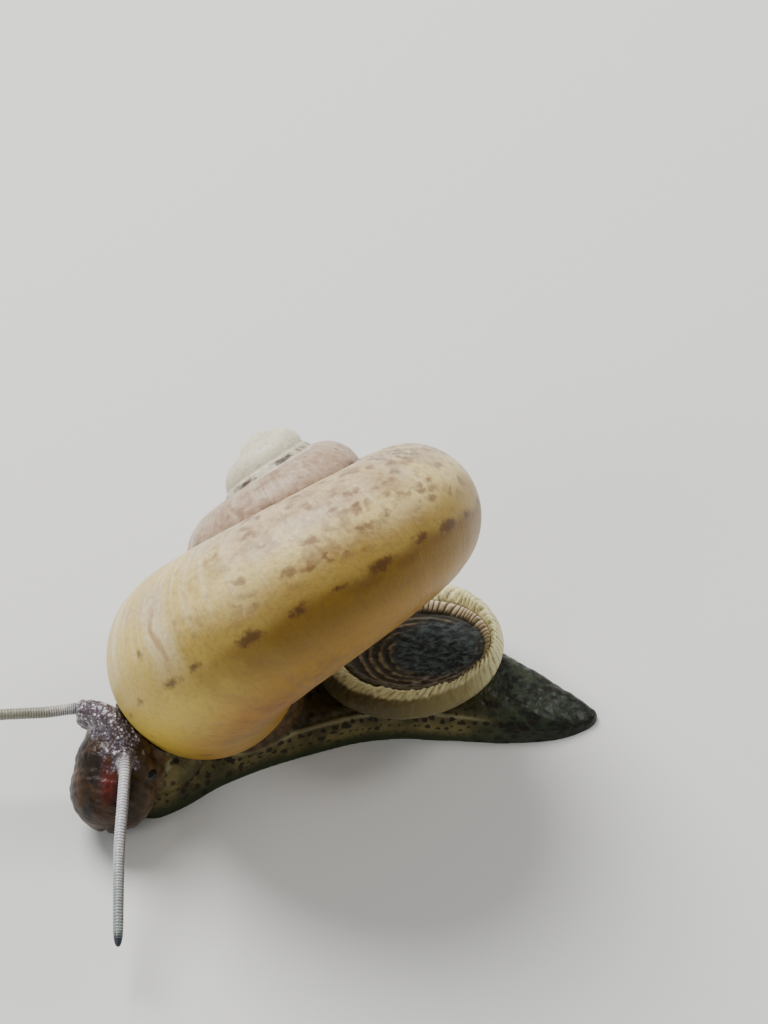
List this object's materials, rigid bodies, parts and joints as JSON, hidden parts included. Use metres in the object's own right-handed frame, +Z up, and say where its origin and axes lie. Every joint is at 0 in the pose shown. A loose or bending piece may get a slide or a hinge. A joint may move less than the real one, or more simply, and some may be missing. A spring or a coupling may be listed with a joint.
{
  "type": "land snail, aulopoma helicinum, crawling",
  "caption": "Life-size still model of a crawling operculate land snail: dished milled operculum, spotted foot and a low honey-yellow spiral shell.",
  "frame": {"origin": "on the floor, under the middle of the whole animal, at the level of the sole", "axes": "+X forward along the rear half of the foot, towards the head; +Y the animal's left; +Z up"},
  "size_m": [0.022, 0.0148, 0.0115],
  "materials": {
    "shell": "semi-gloss, finely lined along the growth",
    "operculum": "satin milled rim, dull dark fibrous dish",
    "foot": "moist, spotted",
    "body": "wet and glossy",
    "feelers": "wet, finely ringed",
    "eyes": "gloss"
  },
  "bodies": {
    "root": {"shell": "shell", "operculum": "operculum", "foot_front": "foot", "foot_middle": "foot", "tail": "foot", "body_stalk": "body", "mantle_edge": "body", "neck": "body", "head": "body", "snout": "body", "tentacle_left_root": "feelers", "tentacle_left_tip": "feelers", "tentacle_right_root": "feelers", "tentacle_right_tip": "feelers", "eye_left": "eyes", "eye_right": "eyes"}
  },
  "joints": []
}
